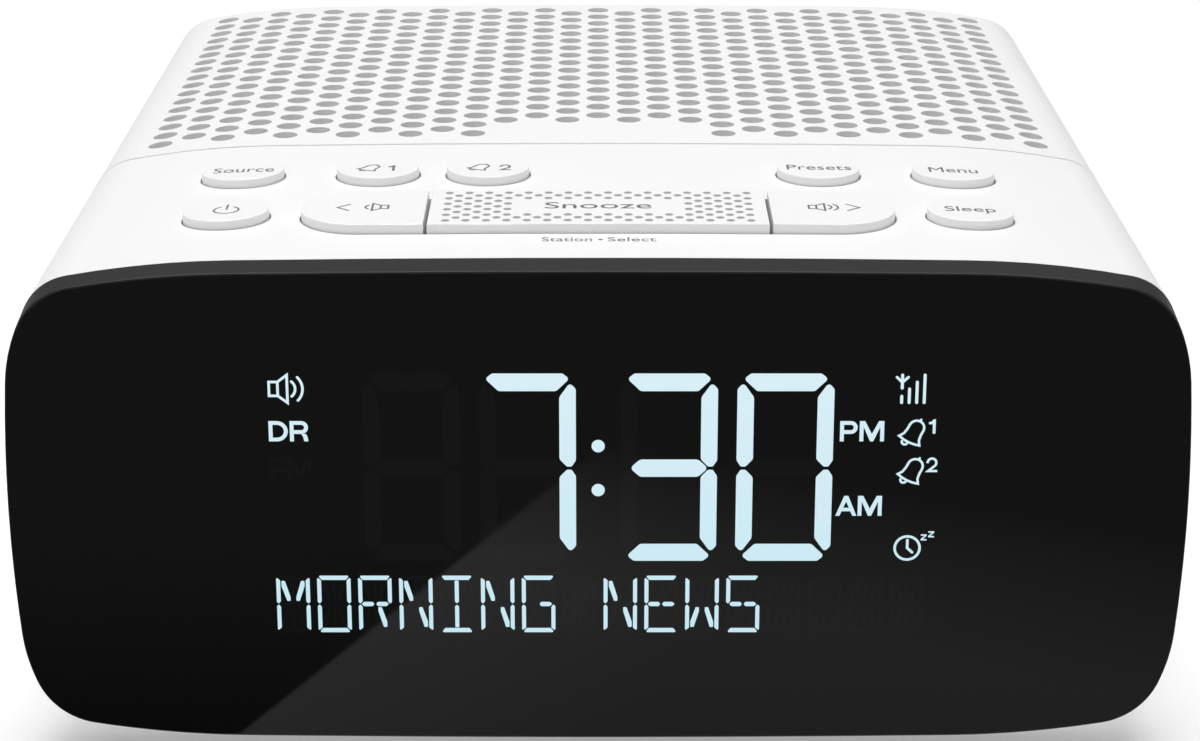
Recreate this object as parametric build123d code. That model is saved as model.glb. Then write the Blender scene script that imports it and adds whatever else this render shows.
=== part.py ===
from build123d import *
import os
from math import cos, radians, sin

os.makedirs("parts", exist_ok=True)

# A bedside clock radio. It is drawn in case coordinates, in millimetres: X to the right, Y backwards
# from the front face, Z up from the lowest line of the case. Every part is moved at the end, so that
# the stored origin is on the ground under the middle of the case.

DEPTH = 164.0  # front face to back face
FOOT_LIFT = 1.8  # gap between the ground and the case
WALL = 2.2
BACK_WALL = 3.0
RUN_GAP = 0.25  # between a button and its hole

# The case's section is four mirrored quarters of tangent arcs, from the middle of the top to the
# middle of the side: (radius, turn in degrees). The turns add up to 90.
SECTION_ARCS = ((3323.4, 0.813), (125.4, 9.614), (7.62, 58.692), (30.4, 16.715), (228.8, 4.166))
# The front panel's face has the same height, with rounder corners
FACE_ARCS = ((3593.0, 0.741), (130.7, 8.858), (9.581, 57.736), (23.19, 18.21), (224.1, 4.455))


def arc_span(arcs):
    """Half width and half height of a section."""
    half_w = half_h = start = 0.0
    for radius, turn in arcs:
        end = start + radians(turn)
        half_w += radius * (sin(end) - sin(start))
        half_h += radius * (cos(start) - cos(end))
        start = end
    return half_w, half_h


HALF_W, HALF_H = arc_span(SECTION_ARCS)
HEIGHT = 2 * HALF_H

# Positions along Y
PANEL_DEPTH = 5.58
FACE_T = 2.5
SEAM_Y = 62.8
SEAM_HALF = 0.35
SEAM_DEEP = 0.4
BACK_ROUND = 6.0

# Tongues that locate one shell inside the next
TONGUE_OUT = WALL + 0.1
TONGUE_IN = WALL + 1.2
TONGUE_REACH = 3.5

# Grille: a hexagonal grid of holes
HOLE_R = 1.8
GRID_ROW = 5.331 / 2
GRID_COLUMN = 4.617
GRID_COLUMNS = 14
GRID_ROWS = 33
GRID_BACK_Y = 154.16
BLANK_COLUMNS = 3
BLANK_FROM_ROW = 30
GRID_CUT = 5.0  # deep enough to pass the wall where it curves down
CLOTH_Y = (66.6, 157.0)
CLOTH_HALF = 67.0

# Buttons
BUTTON_R = 5.75
BUTTON_RISE = 1.25
BAR_RISE = 1.32
BAR_R = 8.2
BAR_Y = 24.9
BAR_HALF = 39.6
BAR_SPLIT = 22.7
BAR_GAP = 0.5
TOP_EDGE_R = 0.12
FLANGE = 0.95  # how far a button's flange stands out
FLANGE_T = 1.0
SKIRT_T = 1.2
SKIRT_LOW = 60.6
FLANGE_TOP = SKIRT_LOW - 0.1
STEM_R = 2.0
ROUND_BUTTONS = {
    "source_button": (-49.7, 45.5),
    "menu_button": (49.7, 45.5),
    "power_button": (-49.7, 25.2),
    "sleep_button": (49.7, 25.2),
    "alarm_1_button": (-30.8, 45.6),
    "alarm_2_button": (-15.4, 45.6),
    "presets_button": (30.8, 45.6),
}
BAR_STEMS = {
    "volume_down_button": (-BAR_HALF + BAR_R, BAR_Y),
    "snooze_button": (0.0, BAR_Y),
    "volume_up_button": (BAR_HALF - BAR_R, BAR_Y),
}
STEMS = ROUND_BUTTONS | BAR_STEMS

# Key board under the deck, and its switches
KEY_BOARD_TOP = 52.5
BOARD_T = 1.6
SWITCH_SIZE = 6.0
SWITCH_TOP = KEY_BOARD_TOP + 3.8
PLUNGER_R = 1.7
PLUNGER_LOW = KEY_BOARD_TOP + 2.7
PLUNGER_TOP = KEY_BOARD_TOP + 5.0
KEY_BOARD_HALF = 65.5
KEY_BOARD_Y = (14.5, 56.0)
KEY_POSTS = ((-62, 18), (62, 18), (-62, 52.5), (62, 52.5), (0, 46))

# Screws
SCREW_R = 1.0
PILOT_R = 1.05
HEAD_R = 2.0
HEAD_H = 1.2
POST_R = 3.2
POST_ROOT = 0.3  # how far the loudspeaker's posts stay whole inside the grille's wall

# Display behind the front face
GLASS = (94.0, 46.0, 2.0)
GLASS_Z = 33.0
GLASS_Y = FACE_T + 0.2
GUIDE = (91.0, 39.0, 3.2)
GUIDE_Z = 34.5
HOLDER_HALF = 49.0
HOLDER_BACK = 10.4
STRIP_Z = 12.5
DISPLAY_BOARD_Y = HOLDER_BACK + 0.05
DISPLAY_BACK = DISPLAY_BOARD_Y + BOARD_T
DISPLAY_POSTS = ((-53, 14), (53, 14), (-53, 52), (53, 52))
LED_SIZE = (3.0, 1.5, 3.0)
LED_PLACES = [(x, z) for x in (-30, 0, 30) for z in (25, 44)]

RIBBON_W = 20.0

# Joint between the two shells
CASE_SCREWS = ((-64, 14), (64, 14), (-64, 45), (64, 45))
CASE_POST_START = SEAM_Y - 11.0
CASE_POST_END = SEAM_Y + TONGUE_REACH + 0.2
RIB_HALF = 1.0
TAB_INNER_X = 59.5
TAB_HALF = 5.0
TAB_T = 2.3

# Back panel
BACK_PANEL = (124.0, 42.0, 1.7)
BACK_OPENING = (108.0, 30.0)
PANEL_CORNER = 6.0
PANEL_GAP = 0.2
OPENING_CORNER = 4.0
BACK_Z = 29.5
BACK_FACE = DEPTH - 0.1
BACK_SCREWS = ((-58, 11.8), (58, 11.8), (-58, 47.2), (58, 47.2))

# Main board and its sockets
MAIN_BOARD_Z = 12.0
MAIN_TOP = MAIN_BOARD_Z + BOARD_T
MAIN_BOARD_HALF = 52.0
MAIN_BOARD_Y = (80.0, 158.5)
MAIN_POSTS = ((-47, 86), (47, 86), (-47, 150), (47, 150))
SOCKET_BACK = DEPTH - BACK_WALL - 0.1
POWER_X, POWER_Z = -38.0, 20.1
PHONES_X, PHONES_Z = 38.0, 18.5
PHONES_R = 1.8
PHONES_DEPTH = 14.0
USB_Z = 18.0
AERIAL_X, AERIAL_Z = -14.0, 38.0

# Loudspeaker, facing up under the grille
SPEAKER_Y = 112.0
SPEAKER_HALF = 33.0
SPEAKER_PITCH = 28.0
FLANGE_PLATE_T = 1.2
BASKET_TOP = 59.3
BASKET_FLANGE_LOW = BASKET_TOP - FLANGE_PLATE_T
BASKET_LOW = 42.0
BASKET_R = 28.5
BASKET_LOW_R = 19.0
CONE_R = 23.8
CONE_LOW = 49.5
COIL_R = 10.2
POLE_R = 9.6
MAGNET_R = 22.5
MAGNET_Z = (29.0, 39.0)

# Rubber feet
FOOT_R = 6.0
FOOT_TOP = 1.4
FEET = ((-50, 16), (50, 16), (-50, 148), (50, 148))


def outline(inset=0.0, arcs=SECTION_ARCS):
    """Section moved in by inset, flat, with its own Y as height above the middle."""
    x, z, start = 0.0, arc_span(arcs)[1] - inset, 0.0
    quarter = []
    for radius, turn in arcs:
        r = radius - inset
        middle, end = start + radians(turn) / 2, start + radians(turn)
        points = [(x, z)]
        for angle in (middle, end):
            points.append((x + r * (sin(angle) - sin(start)), z + r * (cos(angle) - cos(start))))
        quarter.append(ThreePointArc(*points))
        x, z = points[-1]
        start = end
    half = quarter + [mirror(edge, about=Plane.YZ) for edge in quarter]
    return make_face(half + [mirror(edge, about=Plane.XZ) for edge in half])


def upright_plane(y):
    """Plane across the case at y, seen from the front."""
    return Plane((0, y, HALF_H), x_dir=(1, 0, 0), z_dir=(0, -1, 0))


def prism(inset, y0, y1):
    """The case's section, moved in by inset, from y0 back to y1."""
    return extrude(upright_plane(y1) * outline(inset), amount=y1 - y0, dir=(0, -1, 0))


def block(x0, x1, y0, y1, z0, z1):
    """Box between two corners."""
    return Pos((x0 + x1) / 2, (y0 + y1) / 2, (z0 + z1) / 2) * Box(x1 - x0, y1 - y0, z1 - z0)


def to_wall(side, inner, y0, y1, z, half):
    """Block from inner out to the side wall, on the side that has the sign of side."""
    if side > 0:
        return block(inner, HALF_W, y0, y1, z - half, z + half)
    return block(-HALF_W, -inner, y0, y1, z - half, z + half)


def upright(x, y, z0, z1, r):
    """Cylinder along Z."""
    return Pos(x, y, (z0 + z1) / 2) * Cylinder(r, z1 - z0)


def lengthwise(x, z, y0, y1, r):
    """Cylinder along Y."""
    return Pos(x, (y0 + y1) / 2, z) * Rot(90, 0, 0) * Cylinder(r, y1 - y0)


def plate(width, height, corner, z, y0, y1):
    """Upright rounded plate across Y, centred on X=0 at height z."""
    plane = Plane((0, y1, z), x_dir=(1, 0, 0), z_dir=(0, -1, 0))
    return extrude(plane * RectangleRounded(width, height, corner), amount=y1 - y0, dir=(0, -1, 0))


def turned(points):
    """Ring or cone on the loudspeaker's axis, from its half section in radius and height."""
    return Pos(0, SPEAKER_Y, 0) * revolve(Plane.XZ * Polygon(*points, align=None), axis=Axis.Z)


def screw(length):
    """Pan-head screw: head above Z=0 with a cross recess, shank down to -length."""
    head = Pos(0, 0, HEAD_H / 2) * Cylinder(HEAD_R, HEAD_H)
    head = fillet(head.edges().group_by(Axis.Z)[-1], 0.5)
    shank = Pos(0, 0, -length / 2) * Cylinder(SCREW_R, length)
    recess = Pos(0, 0, HEAD_H) * (Box(2.2, 0.45, 1.2) + Box(0.45, 2.2, 1.2))
    return head + shank - recess


def screws(places, turn, length):
    """A group of equal screws, each at its place (the underside of its head)."""
    return Compound(children=[Pos(*place) * turn * screw(length) for place in places])


HEAD_UP = Rot(0, 0, 0)
HEAD_DOWN = Rot(180, 0, 0)
HEAD_BACK = Rot(-90, 0, 0)


def front_panel():
    """Smoked front: a flat face with a deep rim, a tongue into the shell and four display posts."""
    sections = [upright_plane(0) * outline(0, FACE_ARCS), upright_plane(PANEL_DEPTH) * outline()]
    body = loft(sections, ruled=True)
    body = fillet(body.faces().sort_by(Axis.Y)[0].edges(), 0.3)
    body += prism(TONGUE_OUT, FACE_T, PANEL_DEPTH + TONGUE_REACH)
    body -= prism(TONGUE_IN, FACE_T, DEPTH)
    for x, z in DISPLAY_POSTS:
        body += lengthwise(x, z, FACE_T - 0.5, HOLDER_BACK, 2.5)
        body -= lengthwise(x, z, FACE_T + 0.5, HOLDER_BACK, PILOT_R)
    return body


def bar_shape(grow):
    """Plan of the whole three-button bar, moved out by grow."""
    return Pos(0, BAR_Y) * SlotOverall(2 * (BAR_HALF + grow), 2 * (BAR_R + grow))


def button_shape(name, grow):
    """Plan of one button, moved out by grow except where two buttons of the bar meet."""
    if name in ROUND_BUTTONS:
        return Pos(*ROUND_BUTTONS[name]) * Circle(BUTTON_R + grow)
    edge = BAR_SPLIT - BAR_GAP / 2
    if name == "snooze_button":
        return bar_shape(grow) & Pos(0, BAR_Y) * Rectangle(2 * edge, 4 * BAR_R)
    side = -1 if name == "volume_down_button" else 1
    inner = BAR_SPLIT + BAR_GAP / 2
    return bar_shape(grow) & Pos(side * (inner + BAR_HALF), BAR_Y) * Rectangle(2 * BAR_HALF, 4 * BAR_R)


def upward(shape, z0, z1):
    """Plan shape drawn up from z0 to z1."""
    return extrude(Pos(0, 0, z0) * shape, amount=z1 - z0, dir=(0, 0, 1))


def button(name):
    """Cap that follows the deck's crown, with a flange that holds it in and a stem."""
    rise = BUTTON_RISE if name in ROUND_BUTTONS else BAR_RISE
    cap = upward(button_shape(name, 0), FLANGE_TOP - FLANGE_T, HEIGHT + 5) & prism(-rise, 0, DEPTH)
    rim = [e for e in cap.edges() if e.center().Z > HEIGHT - 1]
    if name in ROUND_BUTTONS:
        rim = [e for e in rim if e.geom_type != GeomType.LINE]
    cap = fillet(rim, TOP_EDGE_R)
    flange = upward(button_shape(name, FLANGE), FLANGE_TOP - FLANGE_T, FLANGE_TOP)
    x, y = STEMS[name]
    return cap + flange + upright(x, y, PLUNGER_TOP, FLANGE_TOP, STEM_R)


def seam_groove():
    """Shallow groove round the case where the two shells meet."""
    y0, y1 = SEAM_Y - SEAM_HALF, SEAM_Y + SEAM_HALF
    return prism(-1, y0, y1) - prism(SEAM_DEEP, y0, y1)


def front_shell():
    """White sleeve behind the front panel, with the button deck."""
    body = prism(0, PANEL_DEPTH + 0.1, SEAM_Y - 0.05)
    body = body - prism(WALL, 0, DEPTH) - seam_groove()
    body += prism(WALL - 0.2, SEAM_Y - 5, SEAM_Y - 1) - prism(TONGUE_IN, 0, DEPTH)
    body += prism(TONGUE_OUT, SEAM_Y - 5, SEAM_Y + TONGUE_REACH) - prism(TONGUE_IN, 0, DEPTH)
    inside = prism(WALL - 0.4, 0, SEAM_Y - 1)
    holes = bar_shape(RUN_GAP)
    skirts = bar_shape(RUN_GAP + SKIRT_T)
    for name in ROUND_BUTTONS:
        holes += button_shape(name, RUN_GAP)
        skirts += button_shape(name, RUN_GAP + SKIRT_T)
    body += upward(skirts, SKIRT_LOW, HEIGHT) & inside
    for x, y in KEY_POSTS:
        body += upright(x, y, KEY_BOARD_TOP, HEIGHT, POST_R) & inside
        body -= upright(x, y, KEY_BOARD_TOP - 1, KEY_BOARD_TOP + 7, PILOT_R)
    for x, z in CASE_SCREWS:
        rib = to_wall(x, abs(x), CASE_POST_START, SEAM_Y - 1, z, RIB_HALF)
        body += rib & inside
        body += lengthwise(x, z, CASE_POST_START, CASE_POST_END, POST_R)
        body -= lengthwise(x, z, SEAM_Y - 5, CASE_POST_END, PILOT_R)
    body -= upward(holes, SKIRT_LOW - 1, HEIGHT + 5)
    return body - foot_pockets()


def foot_pockets():
    """Shallow round pockets for the feet in the underside."""
    return [upright(x, y, -1, FOOT_TOP, FOOT_R + 0.1) for x, y in FEET]


def grille_holes():
    """Every hole of the grille as one flat sketch; the middle is left plain near the seam."""
    places = []
    for column in range(-GRID_COLUMNS, GRID_COLUMNS + 1):
        rows = BLANK_FROM_ROW if abs(column) <= BLANK_COLUMNS else GRID_ROWS
        for row in range(column % 2, rows, 2):
            places.append((column * GRID_COLUMN, GRID_BACK_Y - row * GRID_ROW))
    return Sketch() + [Pos(x, y) * Circle(HOLE_R) for x, y in places]


def rear_shell():
    """White rear sleeve with the grille, a rounded back edge and an opening for the back panel."""
    body = prism(0, SEAM_Y + 0.05, DEPTH)
    body = fillet(body.faces().sort_by(Axis.Y)[-1].edges(), BACK_ROUND)
    hollow = prism(WALL, SEAM_Y, DEPTH - BACK_WALL)
    hollow = fillet(hollow.faces().sort_by(Axis.Y)[-1].edges(), BACK_ROUND - WALL)
    body = body - hollow - seam_groove()
    inside = prism(WALL - 0.2, SEAM_Y + 1, DEPTH - BACK_WALL)
    for x, z in CASE_SCREWS:
        tab = to_wall(x, TAB_INNER_X, CASE_POST_END + 0.1, CASE_POST_END + TAB_T, z, TAB_HALF)
        body += tab & inside
        body -= lengthwise(x, z, CASE_POST_END, CASE_POST_END + TAB_T + 1, SCREW_R + 0.3)
    for x, y in MAIN_POSTS:
        body += upright(x, y, WALL - 0.5, MAIN_BOARD_Z, POST_R)
        body -= upright(x, y, MAIN_BOARD_Z - 7, MAIN_BOARD_Z, PILOT_R)
    for x, y in speaker_corners():
        body += upright(x, y, BASKET_TOP, HEIGHT, POST_R) & inside
        body -= upright(x, y, BASKET_TOP - 1, BASKET_TOP + 2.9, PILOT_R)
    width, height, thickness = BACK_PANEL
    width, height = width + 2 * PANEL_GAP, height + 2 * PANEL_GAP
    recess = BACK_FACE - thickness
    body -= plate(width, height, PANEL_CORNER + PANEL_GAP, BACK_Z, recess, DEPTH + 1)
    body -= plate(*BACK_OPENING, OPENING_CORNER, BACK_Z, DEPTH - BACK_WALL - 1, DEPTH)
    for x, z in BACK_SCREWS:
        body += lengthwise(x, z, DEPTH - BACK_WALL - 8, recess, POST_R)
        body -= lengthwise(x, z, DEPTH - BACK_WALL - 6, DEPTH, PILOT_R)
    posts = [upright(x, y, HALF_H, HEIGHT - WALL + POST_ROOT, POST_R) for x, y in speaker_corners()]
    body -= upward(grille_holes(), HEIGHT - GRID_CUT, HEIGHT + 1) - posts
    return body - foot_pockets()


def rear_panel():
    """Flush back panel with the sockets' openings and four sunk screw holes."""
    width, height, thickness = BACK_PANEL
    body = plate(width, height, PANEL_CORNER, BACK_Z, BACK_FACE - thickness, BACK_FACE)
    for x, z in BACK_SCREWS:
        body -= lengthwise(x, z, BACK_FACE - 3, BACK_FACE, SCREW_R + 0.2)
        body -= lengthwise(x, z, BACK_FACE - HEAD_H, BACK_FACE, HEAD_R + 0.3)
    body -= lengthwise(POWER_X, POWER_Z, BACK_FACE - 3, BACK_FACE, 4.4)
    body -= lengthwise(PHONES_X, PHONES_Z, BACK_FACE - 3, BACK_FACE, 3.8)
    body -= lengthwise(AERIAL_X, AERIAL_Z, BACK_FACE - 3, BACK_FACE, 3.0)
    return body - block(-6.8, 6.8, BACK_FACE - 3, BACK_FACE, USB_Z - 3.1, USB_Z + 3.1)


def feet():
    """Four rubber feet let into the underside."""
    pads = []
    for x, y in FEET:
        pad = upright(x, y, -FOOT_LIFT, FOOT_TOP, FOOT_R)
        pads.append(fillet(pad.edges().group_by(Axis.Z)[0], 0.6))
    return Compound(children=pads)


def lcd_glass():
    """Liquid-crystal cell right behind the front face."""
    return Pos(0, GLASS_Y + GLASS[2] / 2, GLASS_Z) * Box(GLASS[0], GLASS[2], GLASS[1])


def light_guide():
    """Clear plate that spreads the backlight."""
    return Pos(0, GLASS_Y + GLASS[2] + 0.1 + GUIDE[2] / 2, GUIDE_Z) * Box(GUIDE[0], GUIDE[2], GUIDE[1])


def display_holder():
    """White frame that holds the glass and the light guide against the front face."""
    body = block(-HOLDER_HALF, HOLDER_HALF, GLASS_Y, HOLDER_BACK, 8.5, 57.5)
    x, z = GLASS[0] / 2 + 0.15, GLASS[1] / 2 + 0.15
    body -= block(-x, x, 0, GLASS_Y + GLASS[2] + 0.05, GLASS_Z - z, GLASS_Z + z)
    x, z = GUIDE[0] / 2 + 0.15, GUIDE[1] / 2 + 0.15
    body -= block(-x, x, 0, GLASS_Y + GLASS[2] + GUIDE[2] + 0.3, GUIDE_Z - z, GUIDE_Z + z)
    body -= block(-44.2, 44.2, 0, DEPTH, STRIP_Z - 1.3, STRIP_Z + 1.3)
    window = Box(LED_SIZE[0] + 0.4, 6, LED_SIZE[2] + 0.4)
    return body - [Pos(x, HOLDER_BACK, z) * window for x, z in LED_PLACES]


def contact_strip():
    """Elastomer strip that joins the glass's contacts to the display board."""
    return block(-44, 44, GLASS_Y + GLASS[2], HOLDER_BACK, STRIP_Z - 1.1, STRIP_Z + 1.1)


def backlight_leds():
    """Backlight lamps on the display board."""
    y = HOLDER_BACK - LED_SIZE[1] / 2
    return Compound(children=[Pos(x, y, z) * Box(*LED_SIZE) for x, z in LED_PLACES])


def display_board():
    """Circuit board behind the display."""
    body = plate(112, 48, 1.5, GLASS_Z, DISPLAY_BOARD_Y, DISPLAY_BACK)
    return body - [lengthwise(x, z, 0, 20, SCREW_R + 0.15) for x, z in DISPLAY_POSTS]


def display_ribbon():
    """Flat cable from the display board along the floor to the main board."""
    start, step, end = DISPLAY_BACK + 0.2, MAIN_BOARD_Y[0] - 3, MAIN_BOARD_Y[0] + 6
    floor, top = 4.2, MAIN_TOP + 0.2
    route = FilletPolyline((start, 22), (start, floor), (step, floor), (step, top), (end, top), radius=2.5)
    strip = extrude(Plane.YZ * trace(route, line_width=0.3), amount=RIBBON_W, dir=(1, 0, 0))
    return Pos(-RIBBON_W / 2, 0, 0) * strip


def key_board():
    """Circuit board under the button deck."""
    x, (y0, y1) = KEY_BOARD_HALF, KEY_BOARD_Y
    body = block(-x, x, y0, y1, KEY_BOARD_TOP - BOARD_T, KEY_BOARD_TOP)
    body = fillet(body.edges().filter_by(Axis.Z), 2)
    return body - [upright(x, y, 0, HEIGHT, SCREW_R + 0.15) for x, y in KEY_POSTS]


def key_switches():
    """Ten tact switches, one under each button."""
    switches = []
    for x, y in STEMS.values():
        h = SWITCH_SIZE / 2
        body = block(x - h, x + h, y - h, y + h, KEY_BOARD_TOP, SWITCH_TOP)
        body = chamfer(body.edges().filter_by(Axis.Z), 0.6)
        switches.append(body - upright(x, y, PLUNGER_LOW - 0.8, SWITCH_TOP, PLUNGER_R + 0.15))
    return Compound(children=switches)


def plunger(name):
    """Switch plunger that the button's stem presses."""
    x, y = STEMS[name]
    return upright(x, y, PLUNGER_LOW, PLUNGER_TOP, PLUNGER_R)


def main_board():
    """Main circuit board on the floor of the rear shell."""
    x, (y0, y1) = MAIN_BOARD_HALF, MAIN_BOARD_Y
    body = block(-x, x, y0, y1, MAIN_BOARD_Z, MAIN_TOP)
    body = fillet(body.edges().filter_by(Axis.Z), 2)
    return body - [upright(x, y, 0, HEIGHT, SCREW_R + 0.15) for x, y in MAIN_POSTS]


def tuner_can():
    """Folded screening can over the tuner."""
    can = block(-48, -18, 92, 118, MAIN_TOP, MAIN_TOP + 6)
    can = fillet(can.edges().group_by(Axis.Z)[-1] + can.edges().filter_by(Axis.Z), 0.8)
    return can - block(-47.5, -18.5, 92.5, 117.5, MAIN_TOP - 1, MAIN_TOP + 5.5)


def board_chips():
    """Processor and audio amplifier."""
    processor = block(2, 14, 94, 106, MAIN_TOP, MAIN_TOP + 1.4)
    amplifier = block(26, 34, 118, 124, MAIN_TOP, MAIN_TOP + 1.6)
    return Compound(children=[processor, amplifier])


def capacitors():
    """Three upright electrolytic capacitors."""
    cans = []
    for x, y in ((-30, 132), (-18, 138), (20, 136)):
        can = upright(x, y, MAIN_TOP, MAIN_TOP + 10, 4)
        cans.append(fillet(can.edges().group_by(Axis.Z)[-1], 0.6))
    return Compound(children=cans)


def power_socket():
    """Barrel inlet for a low-voltage plug, and its centre pin."""
    body = block(POWER_X - 5, POWER_X + 5, SOCKET_BACK - 13, SOCKET_BACK, MAIN_TOP, MAIN_TOP + 11)
    body += lengthwise(POWER_X, POWER_Z, SOCKET_BACK - 2, BACK_FACE, 4.2)
    body -= lengthwise(POWER_X, POWER_Z, BACK_FACE - 10, BACK_FACE, 3.15)
    pin = lengthwise(POWER_X, POWER_Z, BACK_FACE - 10, BACK_FACE - 1, 1.0)
    return Compound(children=[body, fillet(pin.edges().group_by(Axis.Y)[-1], 0.4)])


def headphone_socket():
    """Small round socket with a blind bore."""
    body = block(PHONES_X - 5, PHONES_X + 5, SOCKET_BACK - 12.5, SOCKET_BACK, MAIN_TOP, MAIN_TOP + 9.6)
    body += lengthwise(PHONES_X, PHONES_Z, SOCKET_BACK - 2, BACK_FACE, 3.6)
    return body - lengthwise(PHONES_X, PHONES_Z, BACK_FACE - PHONES_DEPTH, BACK_FACE, PHONES_R)


def usb_socket():
    """Charging socket: folded steel shell on two legs, and its contact tongue."""
    y0 = SOCKET_BACK - 12
    shell = block(-6.55, 6.55, y0, BACK_FACE, USB_Z - 2.85, USB_Z + 2.85)
    shell = fillet(shell.edges().filter_by(Axis.Y), 0.5)
    shell -= block(-6.25, 6.25, y0 + 0.4, DEPTH, USB_Z - 2.55, USB_Z + 2.55)
    for side in (-1, 1):
        shell += block(side * 6 - 0.3, side * 6 + 0.3, y0 + 3.5, y0 + 6.5, MAIN_TOP, USB_Z - 2.7)
    tongue = block(-5.8, 5.8, y0 + 0.4, BACK_FACE - 2, USB_Z + 0.2, USB_Z + 2.1)
    return Compound(children=[shell, tongue])


def aerial_grommet():
    """Rubber grommet where the wire aerial leaves the case."""
    inner = BACK_FACE - BACK_PANEL[2]
    body = lengthwise(AERIAL_X, AERIAL_Z, inner - 1, BACK_FACE, 2.9)
    body += lengthwise(AERIAL_X, AERIAL_Z, inner - 1.2, inner, 4.2)
    return body - lengthwise(AERIAL_X, AERIAL_Z, BACK_FACE - 5, DEPTH, 0.9)


def speaker_corners():
    """Places of the loudspeaker's four screws."""
    ways = (-SPEAKER_PITCH, SPEAKER_PITCH)
    return [(x, SPEAKER_Y + y) for x in ways for y in ways]


def grille_cloth():
    """Thin scrim under the grille, following its crown."""
    sheet = prism(WALL + 0.02, *CLOTH_Y) - prism(WALL + 0.35, 0, DEPTH)
    sheet = sheet & block(-CLOTH_HALF, CLOTH_HALF, *CLOTH_Y, HALF_H, HEIGHT)
    return sheet - [upright(x, y, HALF_H, HEIGHT, POST_R + 0.08) for x, y in speaker_corners()]


def speaker_gasket():
    """Foam ring between the loudspeaker and the scrim."""
    low, high = BASKET_TOP + 0.45, HEIGHT
    ring = turned([(27.5, low), (31.5, low), (31.5, high), (27.5, high)])
    return ring & prism(WALL + 0.4, 0, DEPTH)


def speaker_basket():
    """Pressed frame: square flange, open cone and a floor that sits on the magnet's top plate."""
    square = RectangleRounded(2 * SPEAKER_HALF, 2 * SPEAKER_HALF, 5)
    flange = Pos(0, SPEAKER_Y, BASKET_FLANGE_LOW) * extrude(square, amount=FLANGE_PLATE_T)
    flange -= upright(0, SPEAKER_Y, 0, HEIGHT, 26.5)
    flange -= [upright(x, y, 0, HEIGHT, SCREW_R + 0.3) for x, y in speaker_corners()]
    low, high = BASKET_LOW, BASKET_FLANGE_LOW + 0.4
    outside = [(11, low), (BASKET_LOW_R, low), (BASKET_R, high), (BASKET_R - 1.2, high)]
    spider_ledge = [(21.8, 48), (19.4, 48), (19.4, 47), (20, 47)]
    cone = turned(outside + spider_ledge + [(BASKET_LOW_R - 1, low + 1.2), (11, low + 1.2)])
    for angle in range(0, 180, 60):
        window = Rot(0, 0, angle) * Box(80, 12, 6)
        cone -= Pos(0, SPEAKER_Y, 52.5) * window
    return flange + cone


def speaker_top_plate():
    """Steel washer on the magnet."""
    bore, low = 10.45, MAGNET_Z[1]
    return turned([(bore, low), (18, low), (18, BASKET_LOW), (bore, BASKET_LOW)])


def speaker_magnet():
    """Ferrite ring."""
    bore, (low, high) = 12.5, MAGNET_Z
    return turned([(bore, low), (MAGNET_R, low), (MAGNET_R, high), (bore, high)])


def speaker_yoke():
    """Back plate and pole in one piece of steel."""
    r, step = 21, MAGNET_Z[0]
    low = step - 3
    return turned([(0, low), (r, low), (r, step), (POLE_R, step), (POLE_R, BASKET_LOW), (0, BASKET_LOW)])


def voice_coil():
    """Former with its winding, hung in the magnet's gap."""
    return turned([(COIL_R - 0.3, 35), (COIL_R, 35), (COIL_R, 50), (COIL_R - 0.3, 50)])


def speaker_cone():
    """Paper cone from the coil to the surround."""
    low, high, paper = CONE_LOW, BASKET_TOP + 0.1, 0.4
    neck = [(COIL_R, low + paper), (COIL_R, low), (COIL_R + 0.6, low)]
    return turned(neck + [(CONE_R, high - paper), (CONE_R, high)])


def dust_cap():
    """Small dome over the coil."""
    ball = Pos(0, SPEAKER_Y, 35.5) * (Sphere(18.9) - Sphere(18.5))
    return ball & upright(0, SPEAKER_Y, 51.2, 60, 11)


def speaker_spider():
    """Sprung disc that centres the coil."""
    return turned([(COIL_R + 0.02, 48.0), (20.6, 48.0), (20.6, 48.4), (COIL_R + 0.02, 48.4)])


def speaker_surround():
    """Half-roll edge between the cone and the flange."""
    base, roll, middle = BASKET_TOP + 0.05, 1.6, CONE_R + 1.7
    ring = Pos(middle, base) * (Circle(roll) - Circle(roll - 0.4))
    ring = ring & Pos(middle, base + roll) * Rectangle(4 * roll, 2 * roll)
    rim = Pos(middle + roll + 1.8, base + 0.2) * Rectangle(4.0, 0.4)
    return Pos(0, SPEAKER_Y, 0) * revolve(Plane.XZ * (ring + rim), axis=Axis.Z)


def back(x, z, y):
    """A place given across the case first."""
    return (x, y, z)


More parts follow.
